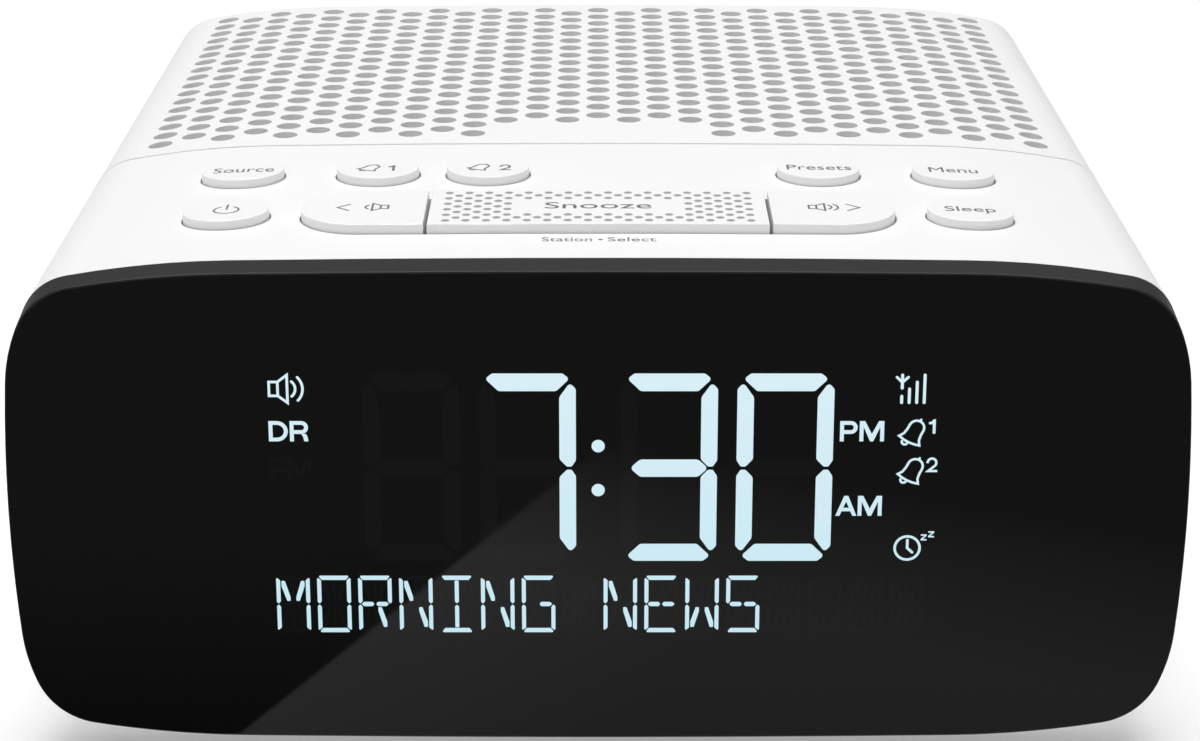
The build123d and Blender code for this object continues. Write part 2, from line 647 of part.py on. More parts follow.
PARTS = {
    "front_panel": front_panel(),
    "front_shell": front_shell(),
    "rear_shell": rear_shell(),
    "rear_panel": rear_panel(),
    "feet": feet(),
    "case_screws": screws([back(*p, CASE_POST_END + TAB_T) for p in CASE_SCREWS], HEAD_BACK, 9),
    "rear_panel_screws": screws([back(*p, BACK_FACE - HEAD_H) for p in BACK_SCREWS], HEAD_BACK, 6),
    "lcd_glass": lcd_glass(),
    "light_guide": light_guide(),
    "display_holder": display_holder(),
    "contact_strip": contact_strip(),
    "backlight_leds": backlight_leds(),
    "display_board": display_board(),
    "display_screws": screws([back(*p, DISPLAY_BACK) for p in DISPLAY_POSTS], HEAD_BACK, 8),
    "display_ribbon": display_ribbon(),
    "key_board": key_board(),
    "key_switches": key_switches(),
    "key_board_screws": screws([(*p, KEY_BOARD_TOP - BOARD_T) for p in KEY_POSTS], HEAD_DOWN, 7),
    "main_board": main_board(),
    "main_board_screws": screws([(*p, MAIN_TOP) for p in MAIN_POSTS], HEAD_UP, 7),
    "tuner_can": tuner_can(),
    "board_chips": board_chips(),
    "capacitors": capacitors(),
    "power_socket": power_socket(),
    "headphone_socket": headphone_socket(),
    "usb_socket": usb_socket(),
    "aerial_grommet": aerial_grommet(),
    "grille_cloth": grille_cloth(),
    "speaker_gasket": speaker_gasket(),
    "speaker_basket": speaker_basket(),
    "speaker_top_plate": speaker_top_plate(),
    "speaker_magnet": speaker_magnet(),
    "speaker_yoke": speaker_yoke(),
    "voice_coil": voice_coil(),
    "speaker_cone": speaker_cone(),
    "dust_cap": dust_cap(),
    "speaker_spider": speaker_spider(),
    "speaker_surround": speaker_surround(),
    "speaker_screws": screws([(*p, BASKET_FLANGE_LOW) for p in speaker_corners()], HEAD_DOWN, 3.8),
}
for key in STEMS:
    PARTS[key] = button(key)
    PARTS[key.replace("button", "plunger")] = plunger(key)

for node, shape in PARTS.items():
    export_step(Pos(0, -DEPTH / 2, FOOT_LIFT) * shape, f"parts/{node}.step")
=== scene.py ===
from math import atan2, cos, pi, radians, sin, tan

import bmesh
import bpy
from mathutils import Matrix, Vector
from mathutils.bvhtree import BVHTree


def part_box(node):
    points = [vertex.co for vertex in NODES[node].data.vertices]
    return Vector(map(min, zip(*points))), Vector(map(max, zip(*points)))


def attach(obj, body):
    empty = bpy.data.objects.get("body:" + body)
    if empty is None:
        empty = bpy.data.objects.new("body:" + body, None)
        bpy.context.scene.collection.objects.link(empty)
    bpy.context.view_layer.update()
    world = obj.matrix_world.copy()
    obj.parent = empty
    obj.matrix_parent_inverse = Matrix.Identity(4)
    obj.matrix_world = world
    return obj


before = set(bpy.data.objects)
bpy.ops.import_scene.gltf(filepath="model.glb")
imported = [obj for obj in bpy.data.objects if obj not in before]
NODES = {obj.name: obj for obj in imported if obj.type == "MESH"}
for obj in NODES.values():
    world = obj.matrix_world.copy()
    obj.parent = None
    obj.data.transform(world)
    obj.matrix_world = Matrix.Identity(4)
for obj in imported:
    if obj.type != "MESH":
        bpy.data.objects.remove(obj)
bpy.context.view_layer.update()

MM = 0.001
FRONT_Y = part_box("front_panel")[0][1]
PANEL_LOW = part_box("front_panel")[0][2]
BUTTONS = [n for n in NODES if n.endswith("_button")]
PLUNGERS = [n for n in NODES if n.endswith("_plunger")]
SCREWS = [n for n in NODES if n.endswith("_screws")]
BOARDS = [n for n in NODES if n.endswith("_board")]
SCREW_HEAD_R = 2.0 * MM  # head of a loudspeaker screw
POST_R = 3.3 * MM  # post that carries the loudspeaker
POST_DEEP = (1.9 * MM, 1.7 * MM)  # depths under the case's highest point between which the posts begin
INLET_Z = 20.1 * MM  # centre of the power inlet above the front panel's lower edge
PIN_R = (1.1 * MM, 1.2 * MM)  # nickel inside the first radius, black plastic outside the second
RIM_START = (0.03 * MM, 0.1 * MM)  # depths behind the front face between which polish turns into satin
LIT_Z = (14 * MM, 52 * MM)  # lowest and highest lit part above the front panel's lower edge

SHELL_WHITE = (0.875, 0.875, 0.875)
PANEL_WHITE = (0.835, 0.835, 0.835)
CAP_WHITE = (0.895, 0.895, 0.895)
SCRIM = (0.42, 0.42, 0.42)
GLOSS_BLACK = (0.0022, 0.0022, 0.0024)
SATIN_BLACK = (0.004, 0.004, 0.0041)
SOCKET_BLACK = (0.016, 0.016, 0.017)
LEGEND_GREY = (0.13, 0.13, 0.135)
# painted shade: grey of the dots in the snooze cap's dimples
DIMPLE_SHADE_GREY = (0.30, 0.30, 0.305)
SYMBOL_GREY = (0.22, 0.22, 0.225)
SEGMENT_BLUE = (0.66, 0.83, 0.89)


# ---------------------------------------------------------------- materials


def shade(colour, factor):
    """A colour made darker or lighter."""
    return tuple(c * factor for c in colour)


class Finish:
    """A Principled material, with short ways to wire procedural detail into it."""

    def __init__(self, name, colour, roughness, **sockets):
        self.material = bpy.data.materials.new(name)
        self.material.use_nodes = True
        self.tree = self.material.node_tree
        self.shader = self.tree.nodes["Principled BSDF"]
        self.shader.inputs["Base Color"].default_value = (*colour, 1)
        self.shader.inputs["Roughness"].default_value = roughness
        for socket, value in sockets.items():
            self.shader.inputs[socket.replace("_", " ")].default_value = value
        self.place = self.tree.nodes.new("ShaderNodeTexCoord").outputs["Object"]

    def node(self, kind, inputs=None, **settings):
        """A shader node with its settings, and its inputs linked or set."""
        made = self.tree.nodes.new("ShaderNode" + kind)
        for name, value in settings.items():
            setattr(made, name, value)
        for name, value in (inputs or {}).items():
            if isinstance(value, bpy.types.NodeSocket):
                self.tree.links.new(value, made.inputs[name])
            else:
                made.inputs[name].default_value = value
        return made

    def noise(self, size, detail=3.0, stretch=(1, 1, 1)):
        """Soft random pattern with features of this size in millimetres."""
        spread = self.node("Mapping", {"Vector": self.place, "Scale": stretch})
        inputs = {"Vector": spread.outputs[0], "Scale": 1 / (size * MM), "Detail": detail}
        return self.node("TexNoise", inputs).outputs["Fac"]

    def cells(self, size):
        """Distance to the nearest of scattered points, about this many millimetres apart."""
        inputs = {"Vector": self.place, "Scale": 1 / (size * MM)}
        return self.node("TexVoronoi", inputs).outputs["Distance"]

    def ramp(self, value, low, high, to_low=0.0, to_high=1.0):
        """Maps low to to_low and high to to_high, and stays within them."""
        inputs = {"Value": value, "From Min": low, "From Max": high, "To Min": to_low, "To Max": to_high}
        return self.node("MapRange", inputs).outputs[0]

    def calculate(self, operation, *values):
        """Result of one Math node."""
        return self.node("Math", dict(enumerate(values)), operation=operation).outputs[0]

    def distance(self, *offsets):
        """Length of an offset with these two parts, along two axes."""
        squares = [self.calculate("MULTIPLY", offset, offset) for offset in offsets]
        return self.calculate("SQRT", self.calculate("ADD", *squares))

    def axis(self, name):
        """Place along X, Y or Z in metres."""
        return self.node("SeparateXYZ", {0: self.place}).outputs[name]

    def waves(self, axis, pitch):
        """Sine wave along an axis, from -1 to 1, with this pitch in millimetres."""
        return self.calculate("SINE", self.calculate("MULTIPLY", self.axis(axis), 2 * pi / (pitch * MM)))

    def colours(self, factor, first, second):
        """Base colour between two colours."""
        mix = self.node("MixRGB", {"Fac": factor, "Color1": (*first, 1), "Color2": (*second, 1)})
        self.tree.links.new(mix.outputs[0], self.shader.inputs["Base Color"])

    def over(self, factor, colour):
        """Another colour laid over the base colour where factor is 1."""
        base = self.shader.inputs["Base Color"]
        under = base.links[0].from_socket
        mix = self.node("MixRGB", {"Fac": factor, "Color1": under, "Color2": (*colour, 1)})
        self.tree.links.new(mix.outputs[0], base)

    def drive(self, socket, factor, low, high):
        """Shader socket between two values."""
        value = self.ramp(factor, 0, 1, low, high)
        self.tree.links.new(value, self.shader.inputs[socket])

    def bump(self, height, depth):
        """Relief of this depth in millimetres, on top of any relief already there."""
        into = self.shader.inputs["Normal"]
        inputs = {"Height": height, "Distance": depth * MM, "Strength": 1.0}
        if into.links:
            inputs["Normal"] = into.links[0].from_socket
        self.tree.links.new(self.node("Bump", inputs).outputs[0], into)


def post_top_shade(finish):
    """Mask for a painted shade: 1 where the loudspeaker's four posts end under the grille, 0 elsewhere."""
    low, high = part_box("speaker_screws")
    offsets = []
    for i, axis in enumerate("XY"):
        middle, reach = (low[i] + high[i]) / 2, (high[i] - low[i]) / 2 - SCREW_HEAD_R
        aside = finish.calculate("ABSOLUTE", finish.calculate("SUBTRACT", finish.axis(axis), middle))
        offsets.append(finish.calculate("SUBTRACT", aside, reach))
    near = finish.ramp(finish.distance(*offsets), POST_R, POST_R + 0.1 * MM, 1.0, 0.0)
    lowest, highest = (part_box("rear_shell")[1][2] - deep for deep in POST_DEEP)
    below = finish.ramp(finish.axis("Z"), lowest, highest, 1.0, 0.0)
    return finish.calculate("MULTIPLY", near, below)


def moulded_white(name, tint, roughness, grain):
    """Injection-moulded white plastic: faint cloudiness and a fine spark-eroded grain."""
    finish = Finish(name, tint, roughness, Subsurface_Weight=0.04, Subsurface_Scale=0.002)
    finish.shader.inputs["Subsurface Radius"].default_value = (1.0, 0.9, 0.8)
    finish.colours(finish.noise(28), shade(tint, 0.975), tint)
    finish.drive("Roughness", finish.noise(6), roughness - 0.04, roughness + 0.05)
    finish.bump(finish.noise(0.22, 2), grain)
    finish.bump(finish.noise(9, 1), grain * 2)
    return finish


def smoked_gloss():
    """Polished black front; the rim behind the polished face is satin."""
    polished, satin = 0.03, 0.60
    finish = Finish("smoked_gloss", GLOSS_BLACK, polished)
    rim = finish.ramp(finish.axis("Y"), *(FRONT_Y + behind for behind in RIM_START))
    finish.colours(rim, GLOSS_BLACK, SATIN_BLACK)
    smear = finish.ramp(finish.noise(14, 4), 0.45, 0.8, 0.0, 0.02)
    dull = finish.calculate("MULTIPLY_ADD", rim, satin, smear)
    finish.drive("Roughness", dull, polished, 1.0)
    finish.bump(finish.noise(0.15, 2), 0.0006)
    return finish.material


def lit(name, colour, strength):
    """Backlit display segment, a little bluer and dimmer near the lower edge."""
    finish = Finish(name, (0.02, 0.03, 0.035), 0.4)
    height = finish.ramp(finish.axis("Z"), *(PANEL_LOW + up for up in LIT_Z))
    soft = finish.calculate("MULTIPLY_ADD", finish.noise(5), 0.06, height)
    bluer = [c * keep for c, keep in zip(colour, (0.82, 0.93, 0.97))]
    mix = finish.node("MixRGB", {"Fac": soft, "Color1": (*bluer, 1), "Color2": (*colour, 1)})
    finish.tree.links.new(mix.outputs[0], finish.shader.inputs["Emission Color"])
    finish.shader.inputs["Emission Strength"].default_value = strength
    return finish.material


def unlit():
    """Unpowered display segment, only just visible in the black."""
    finish = Finish("unlit_segment", (0.0030, 0.0034, 0.0036), 0.05)
    finish.colours(finish.noise(3), (0.0034, 0.0038, 0.0040), (0.0042, 0.0046, 0.0048))
    return finish.material


def printed(name, colour):
    """Screen-printed ink; the snooze dots use it as grey paint for the shade in the cap's dimples, a
    painted shade.
    """
    finish = Finish(name, colour, 0.5)
    finish.colours(finish.noise(0.4), colour, shade(colour, 1.12))
    finish.bump(finish.noise(0.1), 0.002)
    return finish.material


def rubber(name, level, size):
    """Matt grey rubber with a grain of this size in millimetres."""
    grey = (level, level, level)
    finish = Finish(name, grey, 0.75)
    finish.colours(finish.noise(1.2), shade(grey, 0.8), shade(grey, 1.2))
    finish.bump(finish.noise(size), 0.02)
    return finish.material


def plain_plastic(name, colour, roughness=0.5):
    """Matt technical plastic with a fine grain."""
    finish = Finish(name, colour, roughness)
    finish.colours(finish.noise(2.5), shade(colour, 0.85), colour)
    finish.drive("Roughness", finish.noise(1.5), roughness - 0.06, roughness + 0.06)
    finish.bump(finish.noise(0.12), 0.004)
    return finish.material


def metal(name, colour, roughness, stretch=(1, 1, 1)):
    """Metal with fine rolling or turning marks."""
    finish = Finish(name, colour, roughness, Metallic=1.0)
    marks = finish.noise(0.35, 4, stretch)
    finish.colours(marks, shade(colour, 0.82), colour)
    finish.drive("Roughness", marks, roughness - 0.08, roughness + 0.14)
    finish.bump(marks, 0.003)
    return finish.material


def circuit_board():
    """Green solder mask with raised tracks and scattered tinned pads."""
    finish = Finish("circuit_board", (0.01, 0.12, 0.045), 0.3)
    grid = {"Scale": 260.0, "Mortar Size": 0.05, "Brick Width": 0.9, "Row Height": 0.3}
    tracks = finish.node("TexBrick", {"Vector": finish.place, **grid}).outputs["Fac"]
    finish.colours(tracks, (0.008, 0.10, 0.035), (0.02, 0.19, 0.07))
    pads = finish.ramp(finish.cells(2.6), 0.16, 0.19, 1.0, 0.0)
    finish.over(pads, (0.62, 0.62, 0.6))
    finish.drive("Metallic", pads, 0.0, 1.0)
    finish.bump(tracks, 0.03)
    finish.bump(pads, 0.02)
    return finish.material


def woven(name, light, dark, pitch):
    """Open woven cloth: two crossed sets of threads, pitch millimetres apart."""
    finish = Finish(name, light, 0.85, Sheen_Weight=0.2)
    threads = [finish.waves(axis, pitch) for axis in "XY"]
    weave = finish.ramp(finish.calculate("MAXIMUM", *threads), -0.2, 1.0)
    finish.colours(weave, dark, light)
    finish.bump(weave, pitch * 0.25)
    return finish.material


def pressed_paper():
    """Fibrous black loudspeaker paper."""
    finish = Finish("pressed_paper", (0.02, 0.02, 0.02), 0.8)
    fibres = finish.noise(0.5, 6, (1, 1, 3))
    finish.colours(fibres, (0.012, 0.012, 0.012), (0.04, 0.04, 0.038))
    finish.bump(fibres, 0.05)
    return finish.material


def foam():
    """Black open-cell foam."""
    finish = Finish("foam", (0.02, 0.02, 0.02), 0.95)
    pores = finish.cells(0.6)
    finish.colours(pores, (0.006, 0.006, 0.006), (0.04, 0.04, 0.04))
    finish.bump(pores, 0.15)
    return finish.material


def ferrite():
    """Dark sintered magnet, rough and blotched."""
    finish = Finish("ferrite", (0.05, 0.05, 0.053), 0.7)
    finish.colours(finish.noise(1.0, 6), (0.03, 0.03, 0.032), (0.075, 0.075, 0.08))
    finish.bump(finish.noise(0.4, 6), 0.03)
    return finish.material


def winding():
    """Enamelled copper wire laid turn by turn."""
    finish = Finish("winding", (0.75, 0.3, 0.13), 0.3, Metallic=1.0)
    height = finish.ramp(finish.waves("Z", 0.3), -1, 1)
    finish.colours(height, (0.35, 0.12, 0.05), (0.8, 0.34, 0.16))
    finish.bump(height, 0.06)
    return finish.material


def clear_plastic():
    """Clear light-guide plate with a printed dot pattern."""
    finish = Finish("clear_plastic", (0.86, 0.92, 0.95), 0.08, Transmission_Weight=0.85, IOR=1.49)
    dots = finish.ramp(finish.cells(1.1), 0.22, 0.26, 1.0, 0.0)
    finish.drive("Roughness", dots, 0.06, 0.7)
    finish.bump(dots, 0.01)
    return finish.material


def crystal_glass():
    """Liquid-crystal cell: dark polarised glass."""
    finish = Finish("crystal_glass", (0.02, 0.028, 0.03), 0.06)
    finish.colours(finish.noise(20), (0.018, 0.025, 0.027), (0.026, 0.034, 0.036))
    finish.drive("Roughness", finish.noise(8), 0.05, 0.1)
    return finish.material


def socket_plastic():
    """Black socket plastic; within the inlet's centre pin it is nickel."""
    finish = Finish("socket_plastic", SOCKET_BLACK, 0.42)
    low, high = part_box("power_socket")
    centre = {"X": (low[0] + high[0]) / 2, "Z": PANEL_LOW + INLET_Z}
    offsets = [finish.calculate("SUBTRACT", finish.axis(a), middle) for a, middle in centre.items()]
    pin = finish.ramp(finish.distance(*offsets), *PIN_R, 1.0, 0.0)
    finish.colours(pin, SOCKET_BLACK, (0.7, 0.68, 0.62))
    finish.drive("Metallic", pin, 0.0, 1.0)
    finish.bump(finish.noise(0.15), 0.004)
    return finish.material


def dress(names, material):
    """Gives CAD nodes a material."""
    for name in names:
        for slot in NODES[name].material_slots:
            slot.material = material


def dress_frame():
    """Materials of all the CAD nodes."""
    dress(["front_shell"], moulded_white("case_white", SHELL_WHITE, roughness=0.44, grain=0.004).material)
    rear = moulded_white("rear_white", SHELL_WHITE, roughness=0.44, grain=0.004)
    # painted shade: the white post ends seen through the grille holes are painted a dim cloth grey, so
    # those holes look as shaded as the rest
    rear.over(post_top_shade(rear), shade(SCRIM, 0.75))
    dress(["rear_shell"], rear.material)
    dress(["rear_panel"], moulded_white("panel_white", PANEL_WHITE, roughness=0.6, grain=0.012).material)
    dress(BUTTONS, moulded_white("button_white", CAP_WHITE, roughness=0.36, grain=0.002).material)
    dress(["front_panel"], smoked_gloss())
    dress(["feet"], rubber("foot_rubber", level=0.035, size=0.3))
    dress(["aerial_grommet"], rubber("grommet_rubber", level=0.02, size=0.2))
    dress(["contact_strip"], rubber("contact_rubber", level=0.4, size=0.2))
    dress(SCREWS, metal("screw_steel", (0.62, 0.61, 0.58), 0.3))
    dress(["tuner_can", "usb_socket"], metal("tinned_steel", (0.7, 0.7, 0.69), 0.28, (1, 6, 1)))
    dress(["capacitors"], metal("capacitor_aluminium", (0.72, 0.73, 0.75), 0.25))
    dress(["speaker_top_plate", "speaker_yoke"], metal("plated_steel", (0.5, 0.5, 0.48), 0.35))
    dress(["speaker_basket"], plain_plastic("basket_paint", (0.02, 0.02, 0.021), 0.4))
    dress(["speaker_magnet"], ferrite())
    dress(["voice_coil"], winding())
    dress(["speaker_cone", "dust_cap"], pressed_paper())
    dress(["speaker_spider"], woven("spider_cloth", (0.5, 0.32, 0.1), (0.25, 0.14, 0.04), pitch=0.6))
    dress(["grille_cloth"], woven("scrim", SCRIM, shade(SCRIM, 0.67), pitch=0.35))
    dress(["speaker_gasket", "speaker_surround"], foam())
    dress(["lcd_glass"], crystal_glass())
    dress(["light_guide"], clear_plastic())
    dress(["display_holder"], plain_plastic("holder_white", (0.75, 0.75, 0.72)))
    dress(["backlight_leds"], plain_plastic("lamp_body", (0.85, 0.83, 0.6), 0.3))
    dress(["display_ribbon"], plain_plastic("ribbon_film", (0.7, 0.72, 0.74), 0.35))
    dress(["key_switches"], plain_plastic("switch_black", (0.02, 0.02, 0.02)))
    dress(["board_chips"], plain_plastic("chip_black", (0.018, 0.018, 0.02), 0.6))
    dress(PLUNGERS, plain_plastic("plunger_brown", (0.16, 0.06, 0.02)))
    dress(BOARDS, circuit_board())
    dress(["power_socket", "headphone_socket"], socket_plastic())


# ---------------------------------------------------------------- flat drawings


def arc(centre, radius, start, end, steps):
    """Points on a circle, angles in degrees."""
    turns = [radians(start + (end - start) * i / steps) for i in range(steps + 1)]
    return [(centre[0] + radius * cos(a), centre[1] + radius * sin(a)) for a in turns]


def rounded(corners, radius, steps=5):
    """A polygon with every corner rounded; radius may be one value or one for each corner."""
    radii = radius if isinstance(radius, (list, tuple)) else [radius] * len(corners)
    points = []
    for i, (corner, r) in enumerate(zip(corners, radii)):
        here = Vector(corner)
        back = (Vector(corners[i - 1]) - here).normalized()
        ahead = (Vector(corners[(i + 1) % len(corners)]) - here).normalized()
        half = back.angle(ahead) / 2
        centre = here + (back + ahead).normalized() * (r / sin(half))
        run = r / abs(tan(half))
        first, last = here + back * run, here + ahead * run
        a0 = atan2(*(first - centre).yx)
        turn = atan2(*(last - centre).yx) - a0
        turn = (turn + pi) % (2 * pi) - pi
        for k in range(steps + 1):
            a = a0 + turn * k / steps
            points.append((centre.x + r * cos(a), centre.y + r * sin(a)))
    return points


SHARPEST_MITRE = 0.35  # a sharper corner's mitre is cut short


class Drawing:
    """Flat shapes in millimetres, made into one thin solid piece at the end."""

    def __init__(self, name):
        self.name = name
        self.mesh = bmesh.new()

    def polygon(self, points):
        """A filled outline."""
        self.mesh.faces.new([self.mesh.verts.new((*p, 0)) for p in points])

    def disc(self, centre, radius, steps):
        """A filled circle with this many sides."""
        self.polygon(arc(centre, radius, 0, 360 * (steps - 1) / steps, steps - 1))

    def stroke(self, points, width, closed=False, square=False):
        """A line of even width with round or square ends, mitred at its corners."""
        line = [Vector(p) for p in points]
        if square:
            line[0] = line[0] + (line[0] - line[1]).normalized() * width / 2
            line[-1] = line[-1] + (line[-1] - line[-2]).normalized() * width / 2
        count, sides = len(line), ([], [])
        for i, here in enumerate(line):
            before = line[i - 1] if closed or i else None
            after = line[(i + 1) % count] if closed or i < count - 1 else None
            into = (here - before).normalized() if before else (after - here).normalized()
            out = (after - here).normalized() if after else into
            across = Vector((-(into + out).y, (into + out).x)).normalized()
            reach = width / 2 / max(SHARPEST_MITRE, across.dot(Vector((-out.y, out.x))))
            for side, sign in zip(sides, (1, -1)):
                side.append(here + across * reach * sign)
        left, right = ([self.mesh.verts.new((*p, 0)) for p in side] for side in sides)
        for i in range(count if closed else count - 1):
            j = (i + 1) % count
            self.mesh.faces.new((left[i], right[i], right[j], left[j]))
        if not closed and not square:
            self.cap(line[0], line[0] - line[1], width / 2, left[0], right[0])
            self.cap(line[-1], line[-1] - line[-2], width / 2, right[-1], left[-1])

    def cap(self, end, way, radius, first, last):
        """Half disc that rounds the end of a stroke."""
        base, steps = atan2(way.y, way.x), 6
        turns = [base + pi / 2 - pi * (i + 1) / steps for i in range(steps - 1)]
        corner = Vector(first.co.xy) - end
        if corner.dot(Vector((cos(turns[0]), sin(turns[0])))) < 0:
            turns.reverse()
        rim = [self.mesh.verts.new((end.x + radius * cos(a), end.y + radius * sin(a), 0)) for a in turns]
        self.mesh.faces.new([first, *rim, last])

    def lettering(self, text, centre, width, height):
        """Text in Blender's own font, fitted to a width and height about a centre."""
        curve = bpy.data.curves.new("text", "FONT")
        curve.body, curve.resolution_u = text, 4
        holder = bpy.data.objects.new("text", curve)
        flat = bpy.data.meshes.new_from_object(holder)
        points = [v.co for v in flat.vertices]
        low = [min(p[i] for p in points) for i in (0, 1)]
        high = [max(p[i] for p in points) for i in (0, 1)]
        scale = (width / (high[0] - low[0]), height / (high[1] - low[1]))
        verts = []
        for p in points:
            place = [centre[i] + (p[i] - (low[i] + high[i]) / 2) * scale[i] for i in (0, 1)]
            verts.append(self.mesh.verts.new((*place, 0)))
        for face in flat.polygons:
            self.mesh.faces.new([verts[i] for i in face.vertices])
        bpy.data.objects.remove(holder)
        bpy.data.meshes.remove(flat)

    def piece(self, place, thickness, material, body):
        """The drawing as a closed thin solid; place turns (u, v, height) in millimetres into the scene."""
        mesh = self.mesh
        bmesh.ops.remove_doubles(mesh, verts=mesh.verts, dist=1e-5)
        for vert in mesh.verts:
            vert.co.z = -thickness / 2
        grown = bmesh.ops.extrude_face_region(mesh, geom=mesh.faces[:])["geom"]
        for vert in (g for g in grown if isinstance(g, bmesh.types.BMVert)):
            vert.co.z = thickness / 2
        for vert in mesh.verts:
            vert.co = place(vert.co.x, vert.co.y, vert.co.z)
        bmesh.ops.recalc_face_normals(mesh, faces=mesh.faces)
        mesh.verts.index_update()
        corners = [vert.co.copy() for vert in mesh.verts]
        # sorted, because the extrusion gives its faces in another order each run
        faces = sorted([vert.index for vert in face.verts] for face in mesh.faces)
        mesh.free()
        data = bpy.data.meshes.new(self.name)
        data.from_pydata(corners, [], faces)
        made = bpy.data.objects.new(self.name, data)
        bpy.context.scene.collection.objects.link(made)
        made.data.materials.append(material)
        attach(made, body)


def on_front(u, v, height):
    """Front face: u to the right, v up from the panel's lower edge."""
    return Vector((u * MM, FRONT_Y - height * MM, PANEL_LOW + v * MM))


def on_back(u, v, height):
    """Back panel: u to the right seen from behind, v up."""
    return Vector((-u * MM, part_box("rear_panel")[1][1] + height * MM, PANEL_LOW + v * MM))


def on_top(node):
    """Placing function for the top of a node: u to the right, v back from the front face."""
    data = NODES[node].data
    tree = BVHTree.FromPolygons([v.co for v in data.vertices], [p.vertices for p in data.polygons])
    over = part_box(node)[1][2] + 0.01

    def place(u, v, height):
        x, y = u * MM, FRONT_Y + v * MM
        hit = tree.ray_cast(Vector((x, y, over)), Vector((0, 0, -1)))[0]
        return Vector((x, y, (hit.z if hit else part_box(node)[1][2]) + height * MM))

    return place


# ---------------------------------------------------------------- display

# Millimetres: u from the middle of the front, v up from the panel's lower edge.
DIGIT_X = (-23.93, -9.03, 9.10, 23.93)
DIGIT_Z = (25.45, 51.2)
DIGIT_HALF = 5.38
SEGMENT_H = 2.38  # stroke of a digit's level segments
UPRIGHT_W = 2.12  # stroke of its upright segments
UPRIGHT_X = 5.12
DIGITS = {"7": "abc", "3": "abgcd", "0": "abcdef", "8": "abcdefg"}
COLON_Z = (41.35, 35.30)
COLON_R = 0.85
LABEL_Z = (42.0, 36.8, 31.74)  # feet of the three rows of small capitals
LABEL_H = 2.76
LABEL_STEM = 0.50
ICON_W = 0.33  # line of the small symbols
PRINT_T = 0.06  # thickness of the lit parts


def digit_segment(x, segment):
    """Outline of one segment of a clock digit centred on x, lettered a to g in the usual way."""
    low, high = DIGIT_Z
    middle, half = (low + high) / 2, SEGMENT_H / 2
    if segment in "ad":
        y = high - half if segment == "a" else low + half
        up = 1 if segment == "a" else -1
        shape = [(-DIGIT_HALF + 0.9, half), (-DIGIT_HALF, half * 0.4), (-DIGIT_HALF + 1.7, -half)]
        shape += [(-u, v) for u, v in reversed(shape)]
        return rounded([(x + u, y + up * v) for u, v in shape], [0.5, 0.4, 0.6, 0.6, 0.4, 0.5])
    if segment == "g":
        tip = DIGIT_HALF - 0.35
        shape = [(-tip + 1.3, half), (-tip, 0), (-tip + 1.3, -half)]
        shape += [(-u, v) for u, v in reversed(shape)]
        return rounded([(x + u, middle + v) for u, v in shape], [0.9, 0.5, 0.9, 0.9, 0.5, 0.9])
    side = 1 if segment in "bc" else -1
    up = 1 if segment in "bf" else -1
    near, far, half = 0.22, high - middle - 1.25, UPRIGHT_W / 2
    outer_end = [(-half, far - 1.95), (0.3, far), (half, far - 0.85)]
    middle_end = [(half, near + 0.85), (0.5, near), (-0.1, near), (-half, near + 1.0)]
    points = [(x + side * (UPRIGHT_X + u), middle + up * v) for u, v in outer_end + middle_end]
    return rounded(points, [0.9, 0.4, 0.6, 0.7, 0.25, 0.3, 0.7])


CHAR_Z = (15.33, 23.35)
CHAR_HALF = 2.18
CHAR_STROKE = 0.60  # level strokes
CHAR_UPRIGHT = 0.52  # upright strokes
CHAR_FIRST = -39.75
CHAR_PITCH = 5.33
CHAR_CELLS = 16
# Strokes of a fourteen-segment character: t top, b bottom, 1 2 left, 3 4 right, 5 6 middle bars,
# 7 8 centre uprights, q w z x the four diagonals.
LETTERS = {
    "M": "1234qw", "O": "tb1234", "R": "t12356x", "N": "1234qx", "I": "tb78", "G": "tb1246",
    "E": "tb1256", "W": "1234zx", "S": "tb1456",
}
ALL_STROKES = "tb12345678qwzx"


def char_segment(x, stroke):
    """Outline of one stroke of a fourteen-segment character centred on x."""
    low, high = CHAR_Z
    middle, half, s, w = (low + high) / 2, CHAR_HALF, CHAR_STROKE, CHAR_UPRIGHT
    tall = high - middle
    if stroke in "tb":
        y, up = (high, -1) if stroke == "t" else (low, 1)
        inner = half - s - 0.02
        shape = [(-half + 0.12, 0), (half - 0.12, 0), (inner, up * s), (-inner, up * s)]
        return rounded([(x + u, y + v) for u, v in shape], [0.14, 0.14, 0.12, 0.12], 3)
    if stroke in "1234":
        side = -1 if stroke in "12" else 1
        up = 1 if stroke in "13" else -1
        inner = half - w
        shape = [(half, tall - 0.2), (half, 0.3), (half - w / 2, 0.06), (inner, 0.4)]
        shape.append((inner, tall - w - 0.16))
        return rounded([(x + side * u, middle + up * v) for u, v in shape], [0.12, 0.14, 0.1, 0.14, 0.1], 3)
    if stroke in "56":
        side = -1 if stroke == "5" else 1
        shape = [(0.12, 0), (0.34, s / 2), (1.45, s / 2), (1.78, 0), (1.45, -s / 2), (0.34, -s / 2)]
        return rounded([(x + side * u, middle + v) for u, v in shape], 0.1, 3)
    up = 1 if stroke in "7qw" else -1
    if stroke in "78":
        top = tall - s - 0.1
        shape = [(-w / 2, top), (w / 2, top), (w / 2, 0.35), (0, 0.1), (-w / 2, 0.35)]
        return rounded([(x + u, middle + up * v) for u, v in shape], 0.1, 3)
    side = -1 if stroke in "qz" else 1
    far = tall - s - 0.15
    shape = [(0.38, 0.45), (0.38, 1.0), (1.05, far), (1.5, far), (1.5, far - 0.75), (0.82, 0.45)]
    return rounded([(x + side * u, middle + up * v) for u, v in shape], 0.1, 3)


